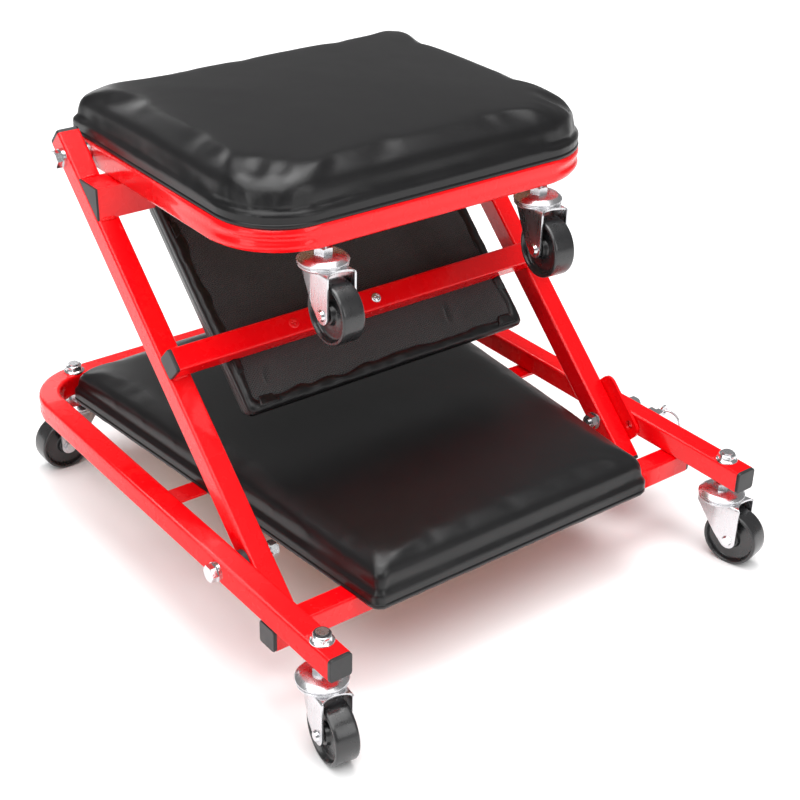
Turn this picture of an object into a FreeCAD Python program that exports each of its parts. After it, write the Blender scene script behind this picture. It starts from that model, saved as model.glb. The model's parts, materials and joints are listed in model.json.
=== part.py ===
import FreeCAD, Part
import math
import os

# Folding mechanics creeper, set up as a seat. Millimetres, +Z up, +X towards the open ends
# of the lower frame. The origin is on the floor, on the centre plane, midway along.
os.makedirs("parts", exist_ok=True)
V = FreeCAD.Vector
X, Y, Z = V(1, 0, 0), V(0, 1, 0), V(0, 0, 1)

# ---------------------------------------------------------------- driving dimensions
TUBE = 20.0                 # square tube, across flats
WALL = 1.5
TUBE_CORNER = 2.2
CAP_HEAD = 3.0              # plastic end cap, thickness of its visible head
CAP_CORNER = 3.0
CAP_PLUG = 7.0
FIT_GAP = 0.2               # play between a cap's plug and its tube

CASTER_HEIGHT = 75.4        # floor to the underside of the tube that carries the caster
WHEEL_RADIUS = 25.0
WHEEL_WIDTH = 20.0
TRAIL = 17.6                # stem axis to wheel axle
STEM_RADIUS = 5.0

LOWER_TIP_X = 245.8         # outer face of the lower frame's arm caps
LOWER_LENGTH = 501.5
LOWER_HALF = 223.3
LOWER_BEND = 42.0           # bend radius at the tube's centre line
LOWER_FRONT_BAR = 82.9      # behind the arm tips, to the bar's middle
LOWER_REAR_BAR = 277.0
STRIP = dict(wide=20.0, thick=2.5, short=5.0)   # flat rear bar, its ends inside the arms' outer faces
LOWER_CASTER = 24.0         # front caster stems behind the arm tips
REAR_CASTER_HALF = 172.0
LOWER_SCREW_HALF = 90.0     # cushion screws, from the centre plane
LOWER_HOLE_BACK = 151.5     # lower pivot behind the arm tips
PIVOT_LIFT = 0.4            # pivot above the arm's middle, so the rails clear the bar below

LEAN = 43.41                # rails above the horizontal, degrees
PIVOT_SPAN = 363.5
RAIL_TAIL = 45.0            # rail below the lower pivot
RAIL_TOP = 18.0             # rail above the upper pivot
RAIL_HALF = 198.7
MIDDLE_BAR = 163.4          # along the rail from the lower pivot
MIDDLE_SCREWS = (-84.5, 0.0)
REST_BAR_DEPTH = 28.7       # triangular bar that the seat arms rest on
REST_BAR_WALL = 2.0

SEAT_HALF = 176.3
SEAT_REACH = 252.5          # upper pivot to the front of the seat frame
SEAT_BEND = 50.0
SEAT_TAIL = 15.0
SEAT_CASTER_HALF = 108.1
SEAT_ARM_SCREW = dict(ahead=75.0, half=162.0)
SEAT_BAR_SCREW_HALF = 60.0

BOLT_RADIUS = 4.0
BOLT_PLAY = 0.05
HEX_HEAD = 13.0             # across flats
HEAD_HEIGHT = 5.5
NUT_HEIGHT = 6.5
WASHER_RADIUS = 8.0
WASHER_THICK = 1.5
SPACER_RADIUS = 9.0
BODY_GAP = 0.3              # air between faces of different moving bodies

BOARD = 9.0
VINYL_WRAP = 2.0            # cushion edge outside its board
SCREW_RADIUS = 2.2
SCREW_HEAD = dict(wide=4.6, narrow=3.0, height=2.4)
SCREW_BITE = 6.0            # depth of a screw in its board
SEAT_PAD = dict(rear=36.0, front=1.0, half=174.0, height=37.0, front_corner=57.0, rear_corner=9.0)
MIDDLE_PAD = dict(low=106.0, high=316.0, half=145.5, height=31.0, corner=6.0)
LOWER_PAD = dict(rear=22.0, front=48.5, rear_half=184.0, front_half=145.0, height=34.0, corner=9.0)
PAD_ROLL = 9.0              # rounding of a cushion's top edge

LOCK_PLATE = dict(low=-30.0, high=32.0, back=-8.0, front=24.0, thick=2.5)
LOCK_PIN_FORWARD = 24.0     # lock pin in front of the lower pivot
PLUNGER = dict(barrel_across=13.0, barrel_length=8.0, reach=21.5, eye_radius=5.0, eye_hole=2.6,
               eye_thick=2.0, neck_radius=2.4, neck_length=7.0)
PULL_RING = dict(radius=15.5, wire=1.1, turn=40.0)
SIDE_PROUD = 8.5            # bolt heads outside the arms

CASTER_HEADINGS = dict(front_left=-8.0, front_right=13.0, rear_left=-90.0, rear_right=82.0,
                       seat_left=-1.0, seat_right=-6.0)

# ---------------------------------------------------------------- derived positions
ARM_BOTTOM = CASTER_HEIGHT
ARM_MID = ARM_BOTTOM + TUBE / 2
ARM_TOP = ARM_BOTTOM + TUBE
LOWER_REAR_X = LOWER_TIP_X - LOWER_LENGTH
LEAN_RAD = math.radians(LEAN)
ALONG = V(-math.cos(LEAN_RAD), 0, math.sin(LEAN_RAD))     # up the rail
FACING = V(math.sin(LEAN_RAD), 0, math.cos(LEAN_RAD))     # out of the rail's front face
LOWER_PIVOT = V(LOWER_TIP_X - LOWER_HOLE_BACK, 0, ARM_MID + PIVOT_LIFT)
UPPER_PIVOT = LOWER_PIVOT + ALONG * PIVOT_SPAN
SEAT_BOTTOM = UPPER_PIVOT.z - TUBE / 2
SEAT_TOP = UPPER_PIVOT.z + TUBE / 2
SEAT_FRONT_X = UPPER_PIVOT.x + SEAT_REACH
ARM_INNER = LOWER_HALF - TUBE
RAIL_INNER = RAIL_HALF - TUBE


def save(name, *solids):
    """Write one node, all its solids in one STEP file."""
    shape = solids[0] if len(solids) == 1 else Part.makeCompound(list(solids))
    shape.exportStep("parts/" + name + ".step")


def on_rail(along, out, y):
    """A point given along the rail from the lower pivot and out from its centre line."""
    return LOWER_PIVOT + ALONG * along + FACING * out + Y * y


def placed(shape, origin, side, up, ahead):
    """Move a shape drawn in its own XY plane so its axes lie along side, up and ahead."""
    moved = shape.copy()
    moved.Placement = FreeCAD.Placement(origin, FreeCAD.Rotation(side, up, ahead, "ZXY"))
    return moved


def mirror_y(shape):
    return shape.mirror(V(0, 0, 0), Y)


def rounded_outline(points, radii):
    """Closed wire through points in the XY plane, each corner rounded by its own radius."""
    count = len(points)
    starts, ends, arcs = [], [], []
    for i, (corner, radius) in enumerate(zip(points, radii)):
        before = (points[i - 1] - corner).normalize()
        after = (points[(i + 1) % count] - corner).normalize()
        half_angle = before.getAngle(after) / 2
        reach = radius / math.tan(half_angle)
        middle = corner + (before + after).normalize() * (radius / math.sin(half_angle) - radius)
        starts.append(corner + before * reach)
        ends.append(corner + after * reach)
        arcs.append(Part.Arc(starts[-1], middle, ends[-1]).toShape())
    edges = []
    for i in range(count):
        edges.append(arcs[i])
        edges.append(Part.makeLine(ends[i], starts[(i + 1) % count]))
    return Part.Wire(edges)


def rectangle(low_x, low_y, high_x, high_y, radius):
    corners = [V(low_x, low_y, 0), V(high_x, low_y, 0), V(high_x, high_y, 0), V(low_x, high_y, 0)]
    return rounded_outline(corners, [radius] * 4)


def square(size, radius):
    return rectangle(-size / 2, -size / 2, size / 2, size / 2, radius)


def tube_face():
    outer = square(TUBE, TUBE_CORNER)
    inner = square(TUBE - 2 * WALL, TUBE_CORNER - WALL)
    return Part.makeFace([outer, inner], "Part::FaceMakerBullseye")


def straight_tube(start, end, up):
    ahead = (end - start).normalize()
    face = placed(tube_face(), start, up.cross(ahead), up, ahead)
    return face.extrude(end - start)


def tube_bend(centre, start, turn):
    """A quarter turn of tube about a vertical axis, from start round centre."""
    out = (start - centre).normalize()
    face = placed(tube_face(), start, out, Z, out.cross(Z))
    return face.revolve(centre, Z, turn)


def end_cap(mouth, out, up):
    """Plastic cap: a domed head on the tube's mouth and a plug inside it."""
    side = up.cross(out)
    head = placed(Part.Face(square(TUBE, CAP_CORNER)), mouth, side, up, out).extrude(out * CAP_HEAD)
    head = head.makeFillet(CAP_HEAD / 3, [e for e in head.Edges if is_far_edge(e, mouth, out)])
    plug_size = TUBE - 2 * WALL - 2 * FIT_GAP
    plug = placed(Part.Face(square(plug_size, 1.0)), mouth, side, up, out)
    return head.fuse(plug.extrude(out * -CAP_PLUG)).removeSplitter()


def is_far_edge(edge, mouth, out):
    offsets = [(v.Point - mouth).dot(out) for v in edge.Vertexes]
    return min(offsets) > CAP_HEAD - 0.01


def cylinder(radius, start, end):
    return Part.makeCylinder(radius, (end - start).Length, start, end - start)


def hexagon(across, start, end):
    """A hexagonal bar with its corners chamfered at the far end."""
    ahead = (end - start).normalize()
    up = Z if abs(ahead.dot(Z)) < 0.9 else X
    corner = across / math.sqrt(3)
    points = [V(corner * math.cos(math.radians(a)), corner * math.sin(math.radians(a)), 0)
              for a in range(0, 360, 60)]
    face = Part.Face(Part.makePolygon(points + points[:1]))
    bar = placed(face, start, up.cross(ahead), up, ahead).extrude(end - start)
    length = (end - start).Length
    trim = Part.makeCone(corner + length * 1.6, corner * 0.9, length, start, ahead)
    return bar.common(trim)


def drill(shape, radius, *axes):
    for start, end in axes:
        shape = shape.cut(cylinder(radius, start, end))
    return shape


def u_frame(tip_x, closed_x, half, bend, z, tail_cut):
    """Two arms and a closed end in one bent tube. The closed end is at closed_x."""
    sign = 1 if closed_x > tip_x else -1
    arm_y = half - TUBE / 2
    bar_x = closed_x - sign * TUBE / 2
    bend_x = bar_x - sign * bend
    pieces = []
    for side in (-1, 1):
        start = V(tip_x + sign * tail_cut, side * arm_y, z)
        bend_start = V(bend_x, side * arm_y, z)
        pieces.append(straight_tube(start, bend_start, Z))
        centre = V(bend_x, side * (arm_y - bend), z)
        pieces.append(tube_bend(centre, bend_start, -90 * side * sign))
    pieces.append(straight_tube(V(bar_x, bend - arm_y, z), V(bar_x, arm_y - bend, z), Z))
    return pieces[0].multiFuse(pieces[1:]).removeSplitter()


def cross_tube(half, centre, up):
    return straight_tube(centre - Y * half, centre + Y * half, up)


def both_caps(half, centre, up):
    return [end_cap(centre + Y * (side * half), Y * side, up) for side in (-1, 1)]


def padded_solid(outline, height, board_outline, roll):
    """A cushion with a rolled top edge, wrapped round the board in its base."""
    block = Part.Face(outline).extrude(Z * height)
    top = [e for e in block.Edges if all(v.Point.z > height - 0.01 for v in e.Vertexes)]
    block = block.makeFillet(roll, top)
    board = Part.Face(board_outline).extrude(Z * BOARD)
    return block.cut(board), board


def trapezoid(rear_x, front_x, rear_half, front_half, radii):
    points = [V(rear_x, -rear_half, 0), V(front_x, -front_half, 0),
              V(front_x, front_half, 0), V(rear_x, rear_half, 0)]
    return rounded_outline(points, [radii[0], radii[1], radii[1], radii[0]])


def screw(seat, into, through):
    """A pan-head screw, its head on seat and its shank through a bar and into a board."""
    head = Part.makeCone(SCREW_HEAD["wide"], SCREW_HEAD["narrow"], SCREW_HEAD["height"], seat, into * -1)
    return head.fuse(cylinder(SCREW_RADIUS, seat, seat + into * (through + SCREW_BITE)))


def screw_holes(shape, into, seats):
    return drill(shape, SCREW_RADIUS, *[(seat - into, seat + into * (TUBE + SCREW_BITE)) for seat in seats])


# ---------------------------------------------------------------- casters
RACE_TOP = -9.0             # below the tube
RACE_DEPTH = 6.0
RACE_RADIUS = 19.0
FORK_PLATE = 2.0
FORK_INNER = WHEEL_WIDTH / 2 + 1.5
FORK_TOP_Z = RACE_TOP - RACE_DEPTH - 1.0
AXLE_Z = WHEEL_RADIUS - CASTER_HEIGHT
AXLE_RADIUS = 3.0
HUB_RADIUS = 9.0


def revolved(profile, axis_point, axis):
    return Part.Face(Part.makePolygon(profile + profile[:1])).revolve(axis_point, axis, 360)


def caster_stem(top):
    """Threaded stem with the fixed upper race pressed on it, and its jam nut."""
    stem = cylinder(STEM_RADIUS, V(0, 0, RACE_TOP - RACE_DEPTH), V(0, 0, top))
    race = revolved([V(0, 0, RACE_TOP), V(11, 0, RACE_TOP), V(17, 0, RACE_TOP - 2.5),
                     V(RACE_RADIUS, 0, RACE_TOP - 4.5), V(RACE_RADIUS, 0, RACE_TOP - RACE_DEPTH),
                     V(0, 0, RACE_TOP - RACE_DEPTH)], V(0, 0, 0), Z)
    collar = hexagon(14.0, V(0, 0, RACE_TOP - 1), V(0, 0, -2.5))
    return stem.fuse(race).fuse(collar).removeSplitter()


def leg_outline():
    """Side of the fork: wide under the race, narrow and round at the axle."""
    foot = 7.5
    top = FORK_TOP_Z
    points = [V(-17.0, top, 0), V(-17.0, top - 7, 0), V(TRAIL - foot, AXLE_Z - foot, 0),
              V(TRAIL + foot, AXLE_Z - foot, 0), V(TRAIL + foot, top - 9, 0), V(18.0, top, 0)]
    return rounded_outline(points, [0.5, 3.0, foot * 0.95, foot * 0.95, 3.0, 0.5])


def caster_fork():
    """Pressed steel fork: a round lower race and two legs."""
    outline = leg_outline()
    legs = []
    for side in (-1, 1):
        start_y = FORK_INNER if side > 0 else -FORK_INNER - FORK_PLATE
        face = placed(Part.Face(outline), V(0, start_y + FORK_PLATE, 0), X, Z, -Y)
        legs.append(face.extrude(Y * -FORK_PLATE))
    crown = cylinder(18.0, V(0, 0, FORK_TOP_Z - FORK_PLATE), V(0, 0, FORK_TOP_Z))
    band = Part.makeBox(35.0, 2 * (FORK_INNER + FORK_PLATE), FORK_PLATE,
                        V(-17.0, -FORK_INNER - FORK_PLATE, FORK_TOP_Z - FORK_PLATE))
    fork = legs[0].multiFuse([legs[1], crown, band]).removeSplitter()
    axle_y = FORK_INNER + FORK_PLATE + 1
    return drill(fork, AXLE_RADIUS, (V(TRAIL, -axle_y, AXLE_Z), V(TRAIL, axle_y, AXLE_Z)))


def caster_axle():
    reach = FORK_INNER + FORK_PLATE
    shank = cylinder(AXLE_RADIUS, V(TRAIL, -reach, AXLE_Z), V(TRAIL, reach, AXLE_Z))
    head = Part.makeCone(4.8, 3.6, 2.2, V(TRAIL, -reach, AXLE_Z), -Y)
    nut = hexagon(9.0, V(TRAIL, reach, AXLE_Z), V(TRAIL, reach + 3.2, AXLE_Z))
    return shank.multiFuse([head, nut]).removeSplitter()


def caster_wheel():
    """Solid plastic wheel with a crowned tread and dished sides."""
    half = WHEEL_WIDTH / 2
    bore = AXLE_RADIUS + BOLT_PLAY
    rim = WHEEL_RADIUS
    profile = [V(0, -half, bore), V(0, -half, HUB_RADIUS), V(0, 2.5 - half, HUB_RADIUS + 1.5),
               V(0, 2.5 - half, rim - 5), V(0, -half + 0.6, rim - 3.5), V(0, -half + 1.2, rim - 1.6),
               V(0, -half + 3.2, rim - 0.3), V(0, -half + 5, rim)]
    profile += [V(0, -p.y, p.z) for p in reversed(profile)]
    wheel = revolved(profile, V(0, 0, 0), Y)
    wheel.translate(V(TRAIL, 0, AXLE_Z))
    return wheel


def save_caster(name, x, y, tube_bottom, stem_top):
    place = FreeCAD.Placement(V(x, y, tube_bottom), FreeCAD.Rotation(Z, CASTER_HEADINGS[name]))
    pieces = dict(stem=caster_stem(stem_top), fork=caster_fork(), axle=caster_axle(), wheel=caster_wheel())
    for piece, shape in pieces.items():
        shape.Placement = place.multiply(shape.Placement)
        save("caster_" + name + "_" + piece, shape)


def flange_nut(x, y, z):
    """Locking nut on a caster stem, with its flange against the tube."""
    bore = cylinder(STEM_RADIUS, V(x, y, z - 1), V(x, y, z + 20))
    flange = Part.makeCone(9.5, 8.0, 2.2, V(x, y, z), Z)
    return flange.fuse(hexagon(15.0, V(x, y, z + 1), V(x, y, z + 7.5))).cut(bore).removeSplitter()


FRONT_STEM_X = LOWER_TIP_X - LOWER_CASTER
REAR_STEM_X = LOWER_REAR_X + TUBE / 2
SEAT_STEM_X = SEAT_FRONT_X - TUBE / 2
ARM_Y = LOWER_HALF - TUBE / 2
LOWER_STEMS = [("front_left", FRONT_STEM_X, -ARM_Y), ("front_right", FRONT_STEM_X, ARM_Y),
               ("rear_left", REAR_STEM_X, -REAR_CASTER_HALF), ("rear_right", REAR_STEM_X, REAR_CASTER_HALF)]
SEAT_STEMS = [("seat_left", SEAT_STEM_X, -SEAT_CASTER_HALF), ("seat_right", SEAT_STEM_X, SEAT_CASTER_HALF)]
for label, stem_x, stem_y in LOWER_STEMS:
    save_caster(label, stem_x, stem_y, ARM_BOTTOM, TUBE + 8.0)
for label, stem_x, stem_y in SEAT_STEMS:
    save_caster(label, stem_x, stem_y, SEAT_BOTTOM, TUBE - WALL)
save("lower_caster_nuts", *[flange_nut(x, y, ARM_TOP) for _, x, y in LOWER_STEMS])

# ---------------------------------------------------------------- lower frame
PIVOT_REACH = V(0, LOWER_HALF + 20, 0)
LOCK_PIN = LOWER_PIVOT + X * LOCK_PIN_FORWARD - Z * PIVOT_LIFT
lower_tube = u_frame(LOWER_TIP_X, LOWER_REAR_X, LOWER_HALF, LOWER_BEND, ARM_MID, CAP_HEAD)
lower_tube = drill(lower_tube, BOLT_RADIUS, (LOWER_PIVOT - PIVOT_REACH, LOWER_PIVOT + PIVOT_REACH))
lower_tube = drill(lower_tube, STEM_RADIUS,
                   *[(V(x, y, ARM_BOTTOM - 1), V(x, y, ARM_TOP + 1)) for _, x, y in LOWER_STEMS])
lower_tube = drill(lower_tube, BOLT_RADIUS + BOLT_PLAY,
                   (LOCK_PIN + Y * (ARM_INNER - 1), LOCK_PIN + PIVOT_REACH))
save("lower_frame_tube", lower_tube)

BAR_Z = ARM_BOTTOM - TUBE / 2
front_bar = V(LOWER_TIP_X - LOWER_FRONT_BAR, 0, BAR_Z)
rear_bar = V(LOWER_TIP_X - LOWER_REAR_BAR, 0, BAR_Z)
BAR_HALF = LOWER_HALF - CAP_HEAD
STRIP_HALF = LOWER_HALF - STRIP["short"]
front_seats = [V(front_bar.x, side * LOWER_SCREW_HALF, ARM_BOTTOM - TUBE) for side in (-1, 1)]
rear_seats = [V(rear_bar.x, side * LOWER_SCREW_HALF, ARM_BOTTOM - STRIP["thick"]) for side in (-1, 1)]
rear_strip = Part.makeBox(STRIP["wide"], 2 * STRIP_HALF, STRIP["thick"],
                          V(rear_bar.x - STRIP["wide"] / 2, -STRIP_HALF, ARM_BOTTOM - STRIP["thick"]))
save("lower_front_crossbar", screw_holes(cross_tube(BAR_HALF, front_bar, Z), Z, front_seats))
save("lower_rear_crossbar", screw_holes(rear_strip, Z, rear_seats))
save("lower_crossbar_end_caps", *both_caps(BAR_HALF, front_bar, Z))
save("lower_arm_end_caps",
     *[end_cap(V(LOWER_TIP_X - CAP_HEAD, side * ARM_Y, ARM_MID), X, Z) for side in (-1, 1)])


def lower_pad_outline(inset):
    """The lower cushion narrows towards the front, to clear the rails."""
    pad = LOWER_PAD
    return trapezoid(LOWER_REAR_X + pad["rear"] + inset, LOWER_TIP_X - pad["front"] - inset,
                     pad["rear_half"] - inset, pad["front_half"] - inset, (pad["corner"], pad["corner"]))


lower_pad, lower_board = padded_solid(lower_pad_outline(0), LOWER_PAD["height"],
                                      lower_pad_outline(VINYL_WRAP), PAD_ROLL)
for shape in (lower_pad, lower_board):
    shape.translate(Z * ARM_BOTTOM)
save("lower_cushion", lower_pad)
save("lower_cushion_board", screw_holes(lower_board, Z, front_seats + rear_seats))
save("lower_cushion_screws", *[screw(seat, Z, TUBE) for seat in front_seats],
     *[screw(seat, Z, STRIP["thick"]) for seat in rear_seats])


def pivot_hardware(pivot, head_y, nut_y, washer_spans):
    """Bolt with a hex head outside, a lock nut inside, and washers between, on one side."""
    out = 1 if head_y > nut_y else -1
    head_start = head_y - out * HEAD_HEIGHT
    bolt = cylinder(BOLT_RADIUS, pivot + Y * (nut_y - out * 2), pivot + Y * head_start)
    head = hexagon(HEX_HEAD, pivot + Y * head_start, pivot + Y * head_y)
    nut = hexagon(HEX_HEAD, pivot + Y * (nut_y + out * NUT_HEIGHT), pivot + Y * nut_y)
    nut = nut.cut(bolt)
    washers = []
    for start, end, radius in washer_spans:
        ring = cylinder(radius, pivot + Y * start, pivot + Y * end)
        washers.append(ring.cut(cylinder(BOLT_RADIUS, pivot + Y * (start - out), pivot + Y * (end + out))))
    return bolt.fuse(head).removeSplitter(), nut, washers


# Lower pivots: the head is outside the arm, the nut inside the rail.
HEAD_Y = LOWER_HALF + SIDE_PROUD
WASHER_Y = HEAD_Y - HEAD_HEIGHT
INNER_WASHER = RAIL_INNER - BODY_GAP
bolt, nut, washers = pivot_hardware(
    LOWER_PIVOT, HEAD_Y, INNER_WASHER - WASHER_THICK - NUT_HEIGHT,
    [(LOWER_HALF, WASHER_Y, WASHER_RADIUS), (INNER_WASHER - WASHER_THICK, INNER_WASHER, WASHER_RADIUS)])
spacer = cylinder(SPACER_RADIUS, LOWER_PIVOT - Y * ARM_INNER, LOWER_PIVOT - Y * (RAIL_HALF + BODY_GAP))
spacer = spacer.cut(cylinder(BOLT_RADIUS, LOWER_PIVOT - Y * ARM_INNER, LOWER_PIVOT - Y * RAIL_HALF))
save("lower_pivot_bolts", mirror_y(bolt), bolt)
save("lower_pivot_nuts", mirror_y(nut), nut)
save("lower_pivot_washers", *[mirror_y(w) for w in washers], *washers)
save("lower_pivot_spacer", spacer)

# Spring plunger in the right arm: a barrel, a pin with a flat eye, and a pull ring hanging in
# the eye. The pin's tip stops just short of the lock plate.
PIN_TIP_Y = RAIL_HALF + LOCK_PLATE["thick"] + 2 * BODY_GAP
EYE = LOCK_PIN + Y * (LOWER_HALF + PLUNGER["reach"])
barrel_start = LOCK_PIN + Y * LOWER_HALF
barrel_end = barrel_start + Y * PLUNGER["barrel_length"]
barrel = hexagon(PLUNGER["barrel_across"], barrel_start, barrel_end)
save("lock_barrel", drill(barrel, BOLT_RADIUS + BOLT_PLAY, (barrel_start - Y, barrel_end + Y)))
eye_half = X * (PLUNGER["eye_thick"] / 2)
eye = cylinder(PLUNGER["eye_radius"], EYE - eye_half, EYE + eye_half)
pin_end = EYE - Y * PLUNGER["neck_length"]
pin = cylinder(BOLT_RADIUS, LOCK_PIN + Y * PIN_TIP_Y, pin_end)
neck = cylinder(PLUNGER["neck_radius"], pin_end, EYE - Y * PLUNGER["eye_radius"] * 0.8)
pin = drill(pin.multiFuse([neck, eye]), PLUNGER["eye_hole"], (EYE - X * BOLT_RADIUS, EYE + X * BOLT_RADIUS))
save("lock_pin", pin)
ring_turn = math.radians(PULL_RING["turn"])
ring_normal = V(-math.sin(ring_turn), math.cos(ring_turn), 0)
save("lock_pull_ring",
     Part.makeTorus(PULL_RING["radius"], PULL_RING["wire"], EYE - Z * PULL_RING["radius"], ring_normal))

# ---------------------------------------------------------------- middle frame
rail_start = on_rail(-RAIL_TAIL, 0, 0)
rail_end = on_rail(PIVOT_SPAN + RAIL_TOP, 0, 0)
RAIL_Y = RAIL_HALF - TUBE / 2
for label, side in (("left", -1), ("right", 1)):
    offset = Y * (side * RAIL_Y)
    rail = straight_tube(rail_start + offset, rail_end + offset, FACING)
    rail = drill(rail, BOLT_RADIUS + BOLT_PLAY,
                 (LOWER_PIVOT + offset - Y * TUBE, LOWER_PIVOT + offset + Y * TUBE))
    rail = drill(rail, BOLT_RADIUS, (UPPER_PIVOT + offset - Y * TUBE, UPPER_PIVOT + offset + Y * TUBE))
    save("rail_" + label, rail)
rail_caps = [end_cap(end + Y * (side * RAIL_Y), out, FACING)
             for end, out in ((rail_end, ALONG), (rail_start, ALONG * -1)) for side in (-1, 1)]
save("rail_end_caps", *rail_caps)

middle_bar = on_rail(MIDDLE_BAR, TUBE, 0)
MIDDLE_BAR_HALF = RAIL_HALF - CAP_HEAD
middle_seats = [on_rail(MIDDLE_BAR, 1.5 * TUBE, y) for y in MIDDLE_SCREWS]
save("middle_crossbar",
     screw_holes(cross_tube(MIDDLE_BAR_HALF, middle_bar, FACING), FACING * -1, middle_seats))
save("middle_crossbar_end_caps", *both_caps(MIDDLE_BAR_HALF, middle_bar, FACING))

# The rest bar has a triangular section: a level top under the seat arms, an upright front,
# and its sloping back on the rails.
REST_TOP = SEAT_BOTTOM - BODY_GAP
face_point = on_rail(0, TUBE / 2, 0)
rest_back_x = face_point.x + ALONG.x * (REST_TOP - face_point.z) / ALONG.z
rest_front_x = rest_back_x + REST_BAR_DEPTH
rest_foot_z = REST_TOP - REST_BAR_DEPTH * ALONG.z / -ALONG.x


def rest_triangle(inset, y):
    back = V(rest_back_x + inset * 2.6, y, REST_TOP - inset)
    front = V(rest_front_x - inset, y, REST_TOP - inset)
    foot = V(rest_front_x - inset, y, rest_foot_z + inset * 2.6)
    return Part.Face(Part.makePolygon([back, front, foot, back]))


PLUG_HEAD = 2.0
rest_half = RAIL_HALF - PLUG_HEAD
rest_bar = rest_triangle(0, -rest_half).extrude(Y * 2 * rest_half)
rest_bar = rest_bar.cut(rest_triangle(REST_BAR_WALL, -rest_half - 1).extrude(Y * 2 * (rest_half + 1)))
save("seat_rest_bar", rest_bar)
rest_plug = rest_triangle(0, rest_half).extrude(Y * PLUG_HEAD)
rest_plug = rest_plug.fuse(rest_triangle(REST_BAR_WALL + FIT_GAP, rest_half).extrude(Y * -CAP_PLUG))
save("seat_rest_bar_plugs", mirror_y(rest_plug), rest_plug)


def middle_pad_outline(inset):
    pad = MIDDLE_PAD
    return rectangle(pad["low"] + inset, -pad["half"] + inset, pad["high"] - inset, pad["half"] - inset,
                     pad["corner"])


def onto_rails(shape):
    """Move a cushion drawn with its length along X onto the back of the crossbars."""
    return placed(shape, on_rail(0, TUBE / 2, 0), ALONG, Y, FACING * -1)


COVER = 0.8                 # dust cover cloth under the board
middle_pad, middle_board = padded_solid(middle_pad_outline(0), MIDDLE_PAD["height"],
                                        middle_pad_outline(VINYL_WRAP), PAD_ROLL)
cover = Part.Face(middle_pad_outline(VINYL_WRAP)).extrude(Z * COVER)
middle_board = middle_board.cut(cover)
middle_pad, middle_board, cover = [onto_rails(s) for s in (middle_pad, middle_board, cover)]
save("middle_cushion", middle_pad)
save("middle_cushion_board", screw_holes(middle_board, FACING * -1, middle_seats))
save("middle_dust_cover", screw_holes(cover, FACING * -1, middle_seats))
save("middle_cushion_screws", *[screw(seat, FACING * -1, TUBE) for seat in middle_seats])

# The lock plate is welded outside the right rail. It has a hole for the pin in each position.
plate_outline = rectangle(LOCK_PLATE["low"], LOCK_PLATE["back"],
                          LOCK_PLATE["high"], LOCK_PLATE["front"], 9.0)
plate_face = placed(Part.Face(plate_outline), on_rail(0, 0, RAIL_HALF), ALONG, FACING, Y)
lock_plate = plate_face.extrude(Y * LOCK_PLATE["thick"])
flat_turn = FreeCAD.Rotation(Y, LEAN - 180.0)
flat_spot = LOWER_PIVOT + flat_turn.multVec(LOCK_PIN - LOWER_PIVOT)
for spot, radius in ((LOWER_PIVOT, BOLT_RADIUS + BOLT_PLAY), (LOCK_PIN, BOLT_RADIUS + 0.4),
                     (flat_spot, BOLT_RADIUS + 0.4)):
    lock_plate = drill(lock_plate, radius, (spot, spot + PIVOT_REACH))
save("lock_plate", lock_plate)

# Upper pivots: the head is outside the rail, the nut inside the seat arm.
UPPER_HEAD_Y = RAIL_HALF + SIDE_PROUD
SEAT_INNER = SEAT_HALF - TUBE
UPPER_INNER = SEAT_INNER - BODY_GAP
bolt, nut, washers = pivot_hardware(
    UPPER_PIVOT, UPPER_HEAD_Y, UPPER_INNER - WASHER_THICK - NUT_HEIGHT,
    [(RAIL_HALF, UPPER_HEAD_Y - HEAD_HEIGHT, WASHER_RADIUS),
     (UPPER_INNER - WASHER_THICK, UPPER_INNER, WASHER_RADIUS),
     (SEAT_HALF + BODY_GAP, RAIL_INNER, SPACER_RADIUS)])
save("upper_pivot_bolts", mirror_y(bolt), bolt)
save("upper_pivot_nuts", mirror_y(nut), nut)
save("upper_pivot_washers", *[mirror_y(w) for w in washers], *washers)

# ---------------------------------------------------------------- seat frame
seat_tip_x = UPPER_PIVOT.x - SEAT_TAIL
seat_tube = u_frame(seat_tip_x, SEAT_FRONT_X, SEAT_HALF, SEAT_BEND, UPPER_PIVOT.z, CAP_HEAD)
seat_tube = drill(seat_tube, BOLT_RADIUS + BOLT_PLAY, (UPPER_PIVOT - PIVOT_REACH, UPPER_PIVOT + PIVOT_REACH))
seat_tube = drill(seat_tube, STEM_RADIUS,
                  *[(V(x, y, SEAT_BOTTOM - 1), V(x, y, SEAT_TOP - WALL)) for _, x, y in SEAT_STEMS])
seat_seats = [V(UPPER_PIVOT.x + SEAT_ARM_SCREW["ahead"], side * SEAT_ARM_SCREW["half"], SEAT_BOTTOM)
              for side in (-1, 1)]
seat_seats += [V(SEAT_STEM_X, side * SEAT_BAR_SCREW_HALF, SEAT_BOTTOM) for side in (-1, 1)]
save("seat_frame_tube", screw_holes(seat_tube, Z, seat_seats))
SEAT_ARM_Y = SEAT_HALF - TUBE / 2
save("seat_arm_end_caps",
     *[end_cap(V(seat_tip_x + CAP_HEAD, side * SEAT_ARM_Y, UPPER_PIVOT.z), X * -1, Z) for side in (-1, 1)])


def seat_pad_outline(inset):
    pad = SEAT_PAD
    return trapezoid(UPPER_PIVOT.x - pad["rear"] + inset, SEAT_FRONT_X - pad["front"] - inset,
                     pad["half"] - inset, pad["half"] - inset,
                     (pad["rear_corner"] - inset / 2, pad["front_corner"] - inset))


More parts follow.
